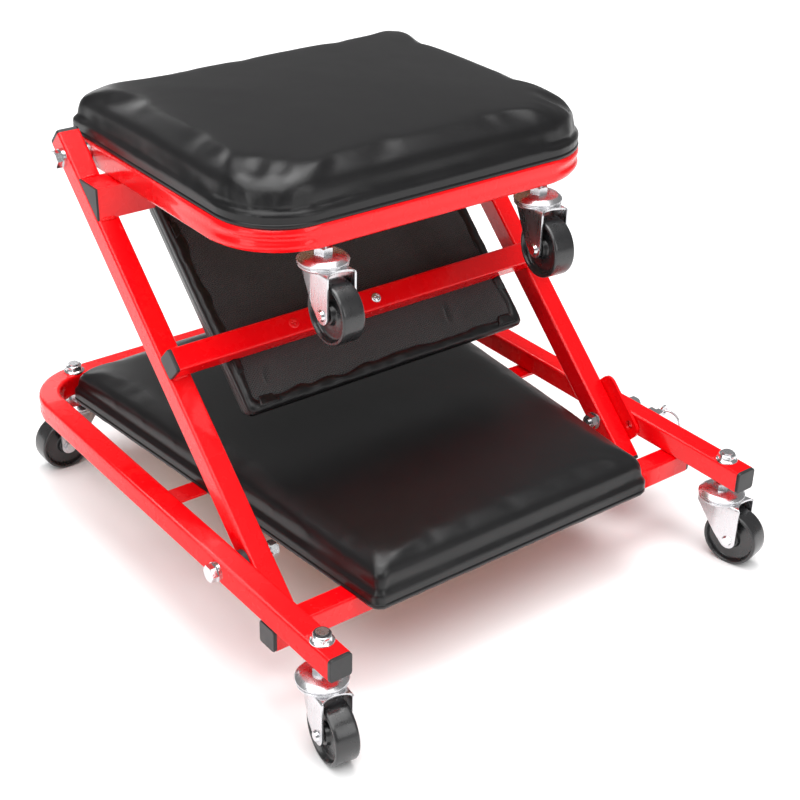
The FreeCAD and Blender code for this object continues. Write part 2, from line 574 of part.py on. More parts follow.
seat_pad, seat_board = padded_solid(seat_pad_outline(0), SEAT_PAD["height"],
                                    seat_pad_outline(VINYL_WRAP), PAD_ROLL)
for shape in (seat_pad, seat_board):
    shape.translate(Z * SEAT_TOP)
save("seat_cushion", seat_pad)
save("seat_cushion_board", screw_holes(seat_board, Z, seat_seats))
save("seat_cushion_screws", *[screw(seat, Z, TUBE) for seat in seat_seats])
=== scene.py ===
import json
import math

import bmesh
import bpy
import numpy as np
from mathutils import Matrix, Vector, noise

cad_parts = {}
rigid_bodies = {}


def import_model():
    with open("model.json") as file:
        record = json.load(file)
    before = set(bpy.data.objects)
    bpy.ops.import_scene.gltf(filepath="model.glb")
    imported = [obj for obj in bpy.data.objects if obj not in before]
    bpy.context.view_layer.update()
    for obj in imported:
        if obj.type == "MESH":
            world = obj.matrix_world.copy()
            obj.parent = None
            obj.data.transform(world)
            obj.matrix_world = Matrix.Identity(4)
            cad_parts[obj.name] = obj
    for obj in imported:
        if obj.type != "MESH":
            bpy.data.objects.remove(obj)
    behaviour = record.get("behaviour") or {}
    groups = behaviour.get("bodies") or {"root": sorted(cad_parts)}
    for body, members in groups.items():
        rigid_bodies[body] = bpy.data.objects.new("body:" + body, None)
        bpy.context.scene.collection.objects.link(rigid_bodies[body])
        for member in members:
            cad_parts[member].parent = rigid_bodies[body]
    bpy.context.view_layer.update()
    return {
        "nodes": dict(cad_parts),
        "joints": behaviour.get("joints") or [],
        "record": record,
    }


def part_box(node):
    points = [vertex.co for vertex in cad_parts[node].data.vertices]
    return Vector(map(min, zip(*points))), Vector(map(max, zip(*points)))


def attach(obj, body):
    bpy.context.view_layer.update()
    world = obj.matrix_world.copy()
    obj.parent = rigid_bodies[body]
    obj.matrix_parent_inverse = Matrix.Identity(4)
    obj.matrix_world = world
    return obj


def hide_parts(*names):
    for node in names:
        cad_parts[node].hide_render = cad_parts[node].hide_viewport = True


# A folding mechanics creeper set up as a seat: three vinyl cushions on hinged square-tube
# frames, with six swivel casters. Metres, in the frame of the CAD model.
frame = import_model()

MM = 0.001
X, Y, Z = Vector((1, 0, 0)), Vector((0, 1, 0)), Vector((0, 0, 1))
nodes = frame["nodes"]
joints = {joint["name"]: joint for joint in frame["joints"]}
LOWER_PIVOT = Vector(joints["lower_fold"]["pos_m"])
UPPER_PIVOT = Vector(joints["upper_fold"]["pos_m"])
ALONG = (UPPER_PIVOT - LOWER_PIVOT).normalized()    # up the rails
FACING = Y.cross(ALONG)                             # out of the rails' front faces
TUBE = 20 * MM


# ---------------------------------------------------------------- camera, light and floor
def look_from(place, azimuth, elevation, roll, lens):
    """Camera at a place, turned to an azimuth and elevation in degrees."""
    az, el, tilt = (math.radians(angle) for angle in (azimuth, elevation, roll))
    back = Vector((math.sin(az) * math.cos(el), -math.cos(az) * math.cos(el), math.sin(el)))
    level = Vector((math.cos(az), math.sin(az), 0))
    up = back.cross(level)
    right = level * math.cos(tilt) + up * math.sin(tilt)
    data = bpy.data.cameras.new("camera")
    data.lens = lens
    data.clip_end = 50
    camera = bpy.data.objects.new("camera", data)
    turn = Matrix((right, back.cross(right), back)).transposed().to_4x4()
    camera.matrix_world = Matrix.Translation(place) @ turn
    bpy.context.collection.objects.link(camera)
    bpy.context.scene.camera = camera


def softbox(name, place, target, size, power):
    """Rectangular studio light that faces a target."""
    data = bpy.data.lights.new(name, "AREA")
    data.shape = "RECTANGLE"
    data.size, data.size_y = size
    data.energy = power
    light = bpy.data.objects.new(name, data)
    light.location = place
    light.rotation_euler = (Vector(target) - Vector(place)).to_track_quat("-Z", "Y").to_euler()
    bpy.context.collection.objects.link(light)


look_from(Vector((0.9394, -0.7100, 0.7874)), 51.93, 29.48, 1.47, 68.92)
MIDDLE = (0, 0, 0.2)
softbox("overhead", (-0.2, 0.2, 2.2), MIDDLE, (1.2, 1.0), 16)
softbox("front_left", (0.5, -2.2, 1.0), MIDDLE, (0.8, 1.4), 10)
softbox("front_right", (2.2, 0.4, 1.1), MIDDLE, (0.7, 1.4), 9)
softbox("rear_left", (-2.2, 0.2, 0.9), MIDDLE, (0.9, 0.7), 5)
sky = bpy.data.lights.new("sky", "SUN")
sky.energy = 3.2
sky.angle = math.radians(70)
sky_lamp = bpy.data.objects.new("sky", sky)
sky_lamp.rotation_euler = Vector((-0.15, 0.2, -1)).to_track_quat("-Z", "Y").to_euler()
bpy.context.collection.objects.link(sky_lamp)
bpy.context.scene.view_settings.view_transform = "Standard"
world = bpy.data.worlds.new("studio")
bpy.context.scene.world = world
world.use_nodes = True
world.node_tree.nodes["Background"].inputs["Color"].default_value = (1, 1, 1, 1)
world.node_tree.nodes["Background"].inputs["Strength"].default_value = 0.28


# ---------------------------------------------------------------- materials
class Finish:
    """A node material under construction. Every texture is mapped in the model's own frame."""

    def __init__(self, name, **sockets):
        self.material = bpy.data.materials.new(name)
        self.material.use_nodes = True
        self.tree = self.material.node_tree
        self.shader = self.tree.nodes["Principled BSDF"]
        self.place = self.tree.nodes.new("ShaderNodeTexCoord").outputs["Object"]
        self.bumped = None
        for socket, value in sockets.items():
            self.shader.inputs[socket.replace("_", " ")].default_value = value

    def node(self, kind, inputs=(), **settings):
        made = self.tree.nodes.new("ShaderNode" + kind)
        for key, value in settings.items():
            setattr(made, key, value)
        for socket, value in dict(inputs).items():
            if isinstance(value, bpy.types.NodeSocket):
                self.tree.links.new(value, made.inputs[socket])
            else:
                made.inputs[socket].default_value = value
        return made

    def noise(self, scale, detail=3.0, stretch=(1, 1, 1)):
        mapping = self.node("Mapping", {"Vector": self.place, "Scale": stretch})
        inputs = {"Vector": mapping.outputs[0], "Scale": scale, "Detail": detail}
        return self.node("TexNoise", inputs).outputs["Fac"]

    def cells(self, scale):
        return self.node("TexVoronoi", {"Vector": self.place, "Scale": scale}).outputs["Distance"]

    def ramp(self, value, low, high):
        return self.node("MapRange", {"Value": value, "To Min": low, "To Max": high}).outputs["Result"]

    def vary_colour(self, value, first, second):
        mix = self.node("Mix", {"Factor": value, "A": (*first, 1), "B": (*second, 1)}, data_type="RGBA")
        for socket, colour in ((mix.inputs[6], first), (mix.inputs[7], second)):
            socket.default_value = (*colour, 1)
        self.tree.links.new(mix.outputs[2], self.shader.inputs["Base Color"])

    def vary_roughness(self, value, low, high):
        self.tree.links.new(self.ramp(value, low, high), self.shader.inputs["Roughness"])

    def bump(self, value, depth, strength=1.0):
        """Add relief of a depth in metres on top of what is there."""
        inputs = {"Height": value, "Distance": depth, "Strength": strength}
        if self.bumped:
            inputs["Normal"] = self.bumped
        self.bumped = self.node("Bump", inputs).outputs["Normal"]
        self.tree.links.new(self.bumped, self.shader.inputs["Normal"])


def red_enamel():
    finish = Finish("red_enamel", Coat_Weight=0.35, Coat_Roughness=0.05, Specular_IOR_Level=0.25)
    finish.vary_colour(finish.noise(9, 4), (0.84, 0.0, 0.002), (0.92, 0.0, 0.004))
    finish.vary_roughness(finish.noise(60), 0.2, 0.34)
    finish.bump(finish.noise(700, 1), 0.00004)
    return finish.material


def black_vinyl():
    finish = Finish("black_vinyl", Specular_IOR_Level=0.38)
    finish.vary_colour(finish.noise(14, 5), (0.004, 0.004, 0.0045), (0.008, 0.0075, 0.008))
    finish.vary_roughness(finish.noise(45, 4), 0.28, 0.36)
    finish.bump(finish.noise(12, 1), 0.0006)
    finish.bump(finish.cells(1500), 0.00005)
    finish.bump(finish.noise(2600, 2), 0.00003)
    return finish.material


def mesh_cloth():
    """Open diamond weave: two crossed families of threads, on the slope of the rails."""
    finish = Finish("mesh_cloth", Sheen_Weight=0.25, Specular_IOR_Level=0.35)
    lean = math.atan2(FACING.x, FACING.z)
    laid = finish.node("Mapping", {"Vector": finish.place, "Rotation": (0, -lean, 0)})
    threads = []
    for turn in (0.62, -0.62):
        turned = finish.node("Mapping", {"Vector": laid.outputs[0], "Rotation": (0, 0, turn)})
        wave = finish.node("TexWave", {"Vector": turned.outputs[0], "Scale": 175.0}, bands_direction="X")
        threads.append(wave.outputs["Fac"])
    weave = finish.node("Math", {0: threads[0], 1: threads[1]}, operation="MAXIMUM").outputs[0]
    finish.vary_colour(weave, (0.002, 0.002, 0.002), (0.034, 0.033, 0.034))
    finish.vary_roughness(finish.noise(30), 0.5, 0.75)
    finish.bump(weave, 0.0005)
    return finish.material


def black_plastic():
    finish = Finish("black_plastic", Specular_IOR_Level=0.5)
    finish.vary_colour(finish.noise(80, 2), (0.010, 0.010, 0.011), (0.024, 0.024, 0.025))
    finish.vary_roughness(finish.noise(120), 0.34, 0.5)
    finish.bump(finish.noise(1800, 2), 0.00006)
    return finish.material


def wheel_plastic():
    finish = Finish("wheel_plastic", Specular_IOR_Level=0.6, Coat_Weight=0.25, Coat_Roughness=0.12)
    finish.vary_colour(finish.noise(90, 3), (0.008, 0.008, 0.009), (0.018, 0.018, 0.019))
    finish.vary_roughness(finish.noise(160, 4), 0.2, 0.38)
    finish.bump(finish.noise(900, 2), 0.00005)
    return finish.material


def plated_steel(name, colour, roughness, grain):
    finish = Finish(name, Metallic=1.0)
    darker = tuple(part * 0.82 for part in colour)
    finish.vary_colour(finish.noise(130, 4), darker, colour)
    finish.vary_roughness(finish.noise(240, 5, (1, 1, 0.2)), roughness, roughness + 0.16)
    finish.bump(finish.noise(grain, 3), 0.00005)
    return finish.material


def nylon():
    finish = Finish("nylon", Subsurface_Weight=0.0, Specular_IOR_Level=0.45)
    finish.vary_colour(finish.noise(150), (0.012, 0.012, 0.013), (0.03, 0.03, 0.032))
    finish.vary_roughness(finish.noise(200), 0.4, 0.55)
    finish.bump(finish.noise(1500), 0.00005)
    return finish.material


def plywood():
    finish = Finish("plywood", Specular_IOR_Level=0.3)
    grain = finish.noise(16, 6, (1, 9, 9))
    finish.vary_colour(grain, (0.30, 0.19, 0.10), (0.55, 0.39, 0.23))
    finish.vary_roughness(grain, 0.6, 0.8)
    finish.bump(grain, 0.0004)
    return finish.material


def pale_floor():
    finish = Finish("pale_floor", Specular_IOR_Level=0.1)
    finish.vary_colour(finish.noise(2), (0.90, 0.90, 0.90), (0.94, 0.94, 0.94))
    finish.vary_roughness(finish.noise(5), 0.8, 0.9)
    return finish.material


finishes = {
    "red_paint": red_enamel(),
    "black_plastic": black_plastic(),
    "vinyl": black_vinyl(),
    "plywood": plywood(),
    "mesh_cloth": mesh_cloth(),
    "wheel_plastic": wheel_plastic(),
    "nylon": nylon(),
    "zinc_plate": plated_steel("zinc_plate", (0.72, 0.72, 0.74), 0.2, 500),
    "chrome_plate": plated_steel("chrome_plate", (0.78, 0.78, 0.8), 0.12, 800),
}
for subpart in frame["record"]["subparts"]:
    mesh = nodes[subpart["node"]].data
    mesh.materials.clear()
    mesh.materials.append(finishes[subpart["material_slot"]])


# ---------------------------------------------------------------- mesh helpers
def piece(name, vertices, faces, slot, body, replaced=(), smooth=True):
    """A new part of the object, riding on a CAD body."""
    mesh = bpy.data.meshes.new(name)
    mesh.from_pydata([tuple(v) for v in vertices], [], faces)
    mesh.validate()
    obj = bpy.data.objects.new(name, mesh)
    bpy.context.collection.objects.link(obj)
    mesh.materials.append(finishes[slot])
    mesh.polygons.foreach_set("use_smooth", [smooth] * len(mesh.polygons))
    tidy = bmesh.new()
    tidy.from_mesh(mesh)
    bmesh.ops.recalc_face_normals(tidy, faces=tidy.faces)
    tidy.to_mesh(mesh)
    tidy.free()
    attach(obj, body)
    if replaced:
        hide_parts(*replaced)
    return obj


def grid_faces(rows, columns, wrap_rows=False, wrap_columns=False):
    """Quads between rows of points, each row a run of columns."""
    faces = []
    for i in range(rows if wrap_rows else rows - 1):
        for j in range(columns if wrap_columns else columns - 1):
            a, b = i * columns, (i + 1) % rows * columns
            k = (j + 1) % columns
            faces.append((a + j, a + k, b + k, b + j))
    return faces


def apply_modifiers(obj):
    depsgraph = bpy.context.evaluated_depsgraph_get()
    mesh = bpy.data.meshes.new_from_object(obj.evaluated_get(depsgraph))
    obj.modifiers.clear()
    obj.data = mesh


def soften(obj, width, angle=35):
    """Round off the piece's hard edges."""
    bevel = obj.modifiers.new("bevel", "BEVEL")
    bevel.width = width
    bevel.segments = 2
    bevel.angle_limit = math.radians(angle)
    bevel.harden_normals = False
    apply_modifiers(obj)
    obj.data.polygons.foreach_set("use_smooth", [True] * len(obj.data.polygons))


def thicken(obj, thickness, offset):
    solid = obj.modifiers.new("solid", "SOLIDIFY")
    solid.thickness = thickness
    solid.offset = offset
    apply_modifiers(obj)


def rounded_ring(corners, radii, step):
    """Evenly spaced points round a polygon in a plane, each corner rounded by its own radius."""
    path = []
    count = len(corners)
    for i in range(count):
        corner = Vector(corners[i])
        before = (Vector(corners[i - 1]) - corner).normalized()
        after = (Vector(corners[(i + 1) % count]) - corner).normalized()
        half = before.angle(after) / 2
        centre = corner + (before + after).normalized() * (radii[i] / math.sin(half))
        start = corner + before * (radii[i] / math.tan(half)) - centre
        end = corner + after * (radii[i] / math.tan(half)) - centre
        for t in np.linspace(0, 1, 13):
            path.append(centre + (start * (1 - t) + end * t).normalized() * radii[i])
    path = np.array(path + path[:1])
    lengths = np.concatenate(([0], np.cumsum(np.linalg.norm(np.diff(path, axis=0), axis=1))))
    places = np.linspace(0, lengths[-1], int(lengths[-1] / step), endpoint=False)
    return np.stack([np.interp(places, lengths, path[:, k]) for k in (0, 1)], axis=1)


def inset_ring(ring, inset):
    """The ring drawn in by a distance on every side."""
    low, high = ring.min(axis=0), ring.max(axis=0)
    middle, half = (low + high) / 2, (high - low) / 2
    return middle + (ring - middle) * (1 - inset / half)


def lathe(profile, steps=72):
    """Vertices and faces of a profile of (radius, height) turned about Z."""
    turns = np.linspace(0, 2 * math.pi, steps, endpoint=False)
    vertices = [Vector((r * math.cos(t), r * math.sin(t), h)) for t in turns for r, h in profile]
    return vertices, grid_faces(steps, len(profile), wrap_rows=True)


def seated(vertices, origin, ahead, side, up):
    """Points drawn in a local frame, moved to their place on the creeper."""
    return [origin + ahead * v[0] + side * v[1] + up * v[2] for v in vertices]


# ---------------------------------------------------------------- cushions
VOXEL = 4 * MM
SIM_FRAMES = 20
UNDER = 1.0 * MM            # the cover passes this far below its board
BOARD = 9 * MM              # the board inside is no thicker than this


def pad_block(ring, height, roll, crown):
    """Closed block with a rolled top edge: what the cover looks like before it is stuffed."""
    rows = [inset_ring(ring, 1 * MM), ring, ring]
    heights = [-UNDER, 0.5 * MM, height - roll]
    for t in np.linspace(0, math.pi / 2, 6)[1:]:
        rows.append(inset_ring(ring, roll * (1 - math.cos(t))))
        heights.append(height - roll + roll * math.sin(t))
    half = (ring.max(axis=0) - ring.min(axis=0)).min() / 2
    for share in np.linspace(0.15, 0.97, 9):
        rows.append(inset_ring(ring, roll + (half - roll) * share))
        heights.append(height + crown * math.sin(share * math.pi / 2))
    vertices = [(*point, z) for row, z in zip(rows, heights) for point in row]
    columns = len(ring)
    faces = grid_faces(len(rows), columns, wrap_columns=True)
    faces.append(tuple(range(columns)))
    faces.append(tuple(range((len(rows) - 1) * columns, len(rows) * columns)))
    return vertices, faces


def positions(obj):
    co = np.empty(len(obj.data.vertices) * 3)
    obj.data.vertices.foreach_get("co", co)
    return co.reshape(-1, 3)


def set_positions(obj, co):
    obj.data.vertices.foreach_set("co", co.ravel())
    obj.data.update()


def normals(obj):
    out = np.empty(len(obj.data.vertices) * 3)
    obj.data.vertices.foreach_get("normal", out)
    return out.reshape(-1, 3)


PRESSURE, SLACK = 4, 0.004  # how hard the stuffing pushes, and how much the cover can grow


def stuff(obj, cap):
    """Fill the cover: a cloth under pressure, held along its base, each point moving at most cap."""
    remesh = obj.modifiers.new("remesh", "REMESH")
    remesh.mode = "VOXEL"
    remesh.voxel_size = VOXEL
    apply_modifiers(obj)
    rest = positions(obj)
    held = [i for i, z in enumerate(rest[:, 2]) if z < 2.5 * MM]
    obj.vertex_groups.new(name="base").add(held, 1.0, "REPLACE")
    cloth = obj.modifiers.new("cloth", "CLOTH")
    settings = cloth.settings
    settings.quality = 6
    settings.mass = 0.25
    settings.tension_stiffness = settings.compression_stiffness = 18
    settings.bending_stiffness = 1.2
    settings.use_pressure = True
    settings.uniform_pressure_force = PRESSURE
    settings.shrink_min = -SLACK
    settings.effector_weights.gravity = 0
    settings.vertex_group_mass = "base"
    cloth.collision_settings.use_collision = False
    for step in range(1, SIM_FRAMES + 1):
        bpy.context.scene.frame_set(step)
    apply_modifiers(obj)
    moved = positions(obj) - rest
    length = np.linalg.norm(moved, axis=1, keepdims=True)
    set_positions(obj, rest + moved * np.minimum(1, cap / np.maximum(length, 1e-9)))
    smooth = obj.modifiers.new("smooth", "SMOOTH")
    smooth.factor = 0.5
    smooth.iterations = 6
    subdivide = obj.modifiers.new("subdivide", "SUBSURF")
    subdivide.levels = 1
    apply_modifiers(obj)


def press(obj, lines, reach):
    """Press creases into the cover. A line has two ends, a depth and a width; reach fades it up the side."""
    co, out = positions(obj), normals(obj)
    push = np.zeros(len(co))
    for start, end, depth, width in lines:
        start, end = np.array(start), np.array(end)
        run = end - start
        t = np.clip(((co - start) @ run) / (run @ run), 0, 1)
        away = np.linalg.norm(co - (start + t[:, None] * run), axis=1)
        push += depth * np.exp(-(away / width) ** 2) * (1 - reach * t)
    set_positions(obj, co - out * push[:, None])


def pucker(obj, height, depth, pitch, seed):
    """Gather the cover towards its base, as where it is pulled under and stapled."""
    co, out = positions(obj), normals(obj)
    lift = np.clip(co[:, 2] / height, 0, 1)
    fade = np.clip(1 - lift * 1.5, 0, 1) ** 1.5 * np.clip(co[:, 2] / (2 * MM), 0, 1)
    wave = np.array([noise.noise(Vector((x / pitch, y / pitch, seed))) for x, y, _ in co])
    set_positions(obj, co + out * (wave * depth * fade)[:, None])


def droop(obj, ring, height, depth):
    """Let the top sink towards its corners, where there is less stuffing."""
    co = positions(obj)
    low, high = ring.min(axis=0), ring.max(axis=0)
    share = np.clip(np.abs(co[:, :2] - (low + high) / 2) / ((high - low) / 2), 0, 1)
    co[:, 2] -= depth * (share[:, 0] * share[:, 1]) ** 5 * np.clip(co[:, 2] / height, 0, 1)
    set_positions(obj, co)


def tuck(obj, centres, quarter, height, depth):
    """Pull the foot of each rounded corner in, below a crease, where the cover is gathered."""
    co = positions(obj)
    for centre, sign in centres:
        away = co[:, :2] - np.array(centre)
        inside = (away[:, 0] > -quarter) & (away[:, 1] * sign > -quarter)
        reach = np.linalg.norm(away, axis=1)
        side = np.clip(np.minimum(away[:, 0], away[:, 1] * sign) / quarter + 1, 0, 1)
        foot = np.clip((0.40 * height - co[:, 2]) / (0.10 * height), 0, 1)
        pull = depth * foot * side * inside
        co[:, :2] -= away * (pull / np.maximum(reach, 1e-6))[:, None]
    set_positions(obj, co)


def inside_ring(points, ring):
    """Which points lie inside a closed ring."""
    inside = np.zeros(len(points), bool)
    for a, b in zip(ring, np.roll(ring, -1, axis=0)):
        spans = (a[1] > points[:, 1]) != (b[1] > points[:, 1])
        reach = a[0] + (points[:, 1] - a[1]) * (b[0] - a[0]) / (b[1] - a[1] if b[1] != a[1] else 1e-12)
        inside ^= spans & (points[:, 0] < reach)
    return inside


def hold_edge(obj, ring, top):
    """Keep the foot of the cover just outside the edge of its board, up to a height."""
    co = positions(obj)
    tangent = np.roll(ring, -1, axis=0) - np.roll(ring, 1, axis=0)
    outward = np.stack([tangent[:, 1], -tangent[:, 0]], axis=1)
    outward /= np.linalg.norm(outward, axis=1, keepdims=True)
    outward *= np.sign((outward * (ring - ring.mean(axis=0))).sum(axis=1, keepdims=True))
    low = np.flatnonzero(co[:, 2] < top)
    nearest = np.argmin(((co[low, None, :2] - ring[None]) ** 2).sum(axis=2), axis=1)
    within = -((co[low, :2] - ring[nearest]) * outward[nearest]).sum(axis=1)
    share = np.clip((top - co[low, 2]) / (4 * MM), 0, 1)
    deepest = np.where(co[low, 2] > 1 * MM, 14 * MM, 7 * MM)
    pull = np.where(within < deepest, np.clip(within - 0.3 * MM, 0, None), 0) * share
    co[low, :2] += outward[nearest] * pull[:, None]
    set_positions(obj, co)


def open_base(obj, ring):
    """Cut the cover away below the board: its hem hides the cut."""
    edge = inset_ring(ring, 11 * MM)
    cut = bmesh.new()
    cut.from_mesh(obj.data)
    centres = np.array([face.calc_center_median() for face in cut.faces])
    gone = inside_ring(centres[:, :2], edge) & (centres[:, 2] < 1 * MM)
    bmesh.ops.delete(cut, geom=[face for face, out in zip(cut.faces, gone) if out], context="FACES")
    cut.to_mesh(obj.data)
    cut.free()


def cushion(name, node, body, ring, height, place, roll, crown, sink, cap, creases, fade, tucks=()):
    """One stuffed cushion, made flat in its own frame and then moved to its place."""
    vertices, faces = pad_block(inset_ring(ring, 0.8 * MM), height - 1.5 * MM, roll, crown)
    obj = piece(name, vertices, faces, "vinyl", body, (node,))
    stuff(obj, cap)
    droop(obj, ring, height, sink)
    press(obj, creases, fade)
    pucker(obj, height, 0.9 * MM, 17 * MM, len(name))
    tuck(obj, tucks, 12 * MM, height, 3.5 * MM)
    hold_edge(obj, ring, BOARD + 5 * MM)
    open_base(obj, ring)
    set_positions(obj, np.array(seated(positions(obj), *place)))
    obj.data.materials.clear()
    obj.data.materials.append(finishes["vinyl"])
    obj.data.polygons.foreach_set("use_smooth", [True] * len(obj.data.polygons))
    return obj


def hem(name, body, ring, section, place, seed):
    """The cover's turned-under edge: a band round the foot of the cushion, uneven along its inner edge."""
    columns = len(ring)
    ragged = [noise.noise(Vector((x * 45, y * 45, seed))) for x, y in ring]
    wave = [1 + 0.5 * noise.noise(Vector((x * 110, y * 110, seed + 5))) for x, y in ring]
    rows = []
    for inset, z in section:
        band, within = inset_ring(ring, inset * MM), inset_ring(ring, (inset + 5) * MM)
        share = max(0, inset / section[-1][0]) ** 2
        for (x, y), (edge_x, edge_y), rag, swell in zip(band, within, ragged, wave):
            slide = rag * share
            drop = z * MM * (swell if z < 0 else 1)
            rows.append((x + (edge_x - x) * slide, y + (edge_y - y) * slide, drop))
    faces = grid_faces(len(section), columns, wrap_columns=True)
    obj = piece(name, seated(rows, *place), faces, "vinyl", body)
    thicken(obj, 0.7 * MM, 0)
    return obj


# A hem's section: how far in from the foot of the cushion, and how high, both in mm.
THIN_HEM = ((0.3, 3.0), (0.0, 0.8), (0.9, -1.2), (3.0, -1.7), (8.0, -1.7), (13.0, -1.6), (17.0, -1.3))
ROLLED_HEM = ((0.6, 6.0), (-0.3, 3.0), (-0.4, 0.5), (0.8, -1.8), (3.0, -3.2), (6.0, -3.4), (8.6, -2.4),
              (9.8, -0.9))


def folded_tab(name, body, place, corner, run, across, length, depth):
    """A flap of cover folded over a corner of the underside."""
    rows, columns = 7, 12
    vertices = []
    for i in range(rows):
        for j in range(columns):
            u, v = j / (columns - 1), i / (rows - 1)
            reach = length * (1 - 0.42 * v) * u + 0.16 * length * v
            ripple = 0.5 * noise.noise(Vector((u * 4, v * 4, length * 90)))
            lift = 3.9 + 0.9 * math.sin(math.pi * u) * (1 - v) - 1.6 * v ** 2 + ripple
            spot = Vector(corner) + Vector(run) * reach + Vector(across) * (depth * v)
            vertices.append((spot.x, spot.y, -lift * MM))
    obj = piece(name, seated(vertices, *place), grid_faces(rows, columns), "vinyl", body)
    thicken(obj, 0.8 * MM, 0)
    return obj


def staples(name, body, ring, inset, pitch, place):
    """A row of wire staples that hold the cover to its board."""
    line = inset_ring(ring, inset)
    stride = max(1, int(pitch / np.linalg.norm(line[1] - line[0])))
    vertices, faces = [], []
    for i in range(0, len(line) - 1, stride):
        here, ahead = Vector((*line[i], 0)), Vector((*line[i + 1], 0))
        run = (ahead - here).normalized()
        side = Vector((-run.y, run.x, 0))
        base = len(vertices)
        for along, across, z in ((-5, -0.35, -1.1), (5, -0.35, -1.1), (5, 0.35, -1.1), (-5, 0.35, -1.1),
                                 (-5, -0.35, 0), (5, -0.35, 0), (5, 0.35, 0), (-5, 0.35, 0)):
            vertices.append(here + run * (along * MM) + side * (across * MM) + Vector((0, 0, z * MM)))
        faces += [tuple(base + k for k in quad) for quad in
                  ((0, 1, 2, 3), (4, 5, 6, 7), (0, 1, 5, 4), (1, 2, 6, 5), (2, 3, 7, 6), (3, 0, 4, 7))]
    return piece(name, seated(vertices, *place), faces, "zinc_plate", body, smooth=False)


def span(node, direction, origin):
    """How far a CAD node reaches along a direction, from an origin."""
    reach = [(v.co - origin).dot(direction) for v in nodes[node].data.vertices]
    return min(reach), max(reach)


def vertical_creases(spots, height, depth, width):
    return [((x, y, 1 * MM), (x, y, height), depth, width) for x, y in spots]


# Seat cushion: large rounded corners at the front, gathered where each curve begins and ends.
seat_low, seat_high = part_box("seat_cushion")
SEAT_CORNER, SEAT_REAR_CORNER = 57 * MM, 9 * MM
seat_ring = rounded_ring([(seat_low.x, seat_low.y), (seat_high.x, seat_low.y), (seat_high.x, seat_high.y),
                          (seat_low.x, seat_high.y)],
                         [SEAT_REAR_CORNER, SEAT_CORNER, SEAT_CORNER, SEAT_REAR_CORNER], 4 * MM)
SEAT_HEIGHT = seat_high.z - seat_low.z
seat_gathers = [(seat_high.x - SEAT_CORNER * k, side * (seat_high.y - SEAT_CORNER * j))
                for side in (-1, 1) for k, j in ((0.92, 0.0), (0.0, 0.92), (0.10, 0.55))]
at_seat = (Vector((0, 0, seat_low.z)), X, Y, Z)
seat_corners = [((seat_high.x - SEAT_CORNER, side * (seat_high.y - SEAT_CORNER)), side) for side in (-1, 1)]
cushion("seat_cushion_cover", "seat_cushion", "seat", seat_ring, SEAT_HEIGHT, at_seat, roll=13 * MM,
        crown=3 * MM, sink=6 * MM, cap=5 * MM, fade=0.9, tucks=seat_corners,
        creases=vertical_creases(seat_gathers, SEAT_HEIGHT * 0.7, 3.0 * MM, 2.6 * MM))
hem("seat_cushion_hem", "seat", seat_ring, THIN_HEM, at_seat, 2)
staples("seat_cushion_staples", "seat", seat_ring, 13 * MM, 42 * MM, at_seat)

# Lower cushion: narrows towards the front, with folded corners.
lower_low, lower_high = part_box("lower_cushion")
LOWER_FRONT_HALF, LOWER_CORNER = 145 * MM, 9 * MM
lower_ring = rounded_ring([(lower_low.x, lower_low.y), (lower_high.x, -LOWER_FRONT_HALF),
                           (lower_high.x, LOWER_FRONT_HALF), (lower_low.x, lower_high.y)],
                          [LOWER_CORNER] * 4, 4 * MM)
LOWER_HEIGHT = lower_high.z - lower_low.z
lower_folds = []
for side in (-1, 1):
    for x, y in ((lower_high.x - 9 * MM, LOWER_FRONT_HALF + 1 * MM),
                 (lower_high.x + 0.5 * MM, LOWER_FRONT_HALF - 8 * MM),
                 (lower_low.x + 9 * MM, lower_high.y)):
        lower_folds += [((x, side * y, -1 * MM), (x, side * y, LOWER_HEIGHT * 0.9), 3.4 * MM, 2.0 * MM)]
    lower_folds += [((lower_high.x, side * (LOWER_FRONT_HALF - 16 * MM), LOWER_HEIGHT * 0.55),
                     (lower_high.x, side * (LOWER_FRONT_HALF - 58 * MM), LOWER_HEIGHT * 0.35),
                     1.1 * MM, 5 * MM)]
at_lower = (Vector((0, 0, lower_low.z)), X, Y, Z)
cushion("lower_cushion_cover", "lower_cushion", "lower_frame", lower_ring, LOWER_HEIGHT, at_lower,
        roll=8 * MM, crown=2 * MM, sink=6 * MM, cap=3.5 * MM, creases=lower_folds, fade=0.3)
hem("lower_cushion_hem", "lower_frame", lower_ring, THIN_HEM, at_lower, 3)
staples("lower_cushion_staples", "lower_frame", lower_ring, 13 * MM, 42 * MM, at_lower)

# Middle cushion: hangs between the rails, its underside towards the front.
middle_low, middle_high = span("middle_cushion", ALONG, LOWER_PIVOT)
MIDDLE_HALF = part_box("middle_cushion")[1].y
middle_top, middle_base = span("middle_cushion", FACING, LOWER_PIVOT)
MIDDLE_HEIGHT = middle_base - middle_top
middle_ring = rounded_ring([(middle_low, -MIDDLE_HALF), (middle_high, -MIDDLE_HALF),
                            (middle_high, MIDDLE_HALF), (middle_low, MIDDLE_HALF)], [6 * MM] * 4, 4 * MM)
at_middle = (LOWER_PIVOT + FACING * middle_base, ALONG, Y, FACING * -1)
middle_folds = [((x, side * (MIDDLE_HALF - 5 * MM), 1 * MM),
                 (x, side * (MIDDLE_HALF - 5 * MM), MIDDLE_HEIGHT * 0.85),
                 3 * MM, 2.2 * MM) for side in (-1, 1) for x in (middle_low, middle_high)]
cushion("middle_cushion_cover", "middle_cushion", "rails", middle_ring, MIDDLE_HEIGHT, at_middle,
        roll=8 * MM, crown=1.5 * MM, sink=4 * MM, cap=3.5 * MM, creases=middle_folds, fade=0.3)
hem("middle_cushion_hem", "rails", middle_ring, ROLLED_HEM, at_middle, 4)
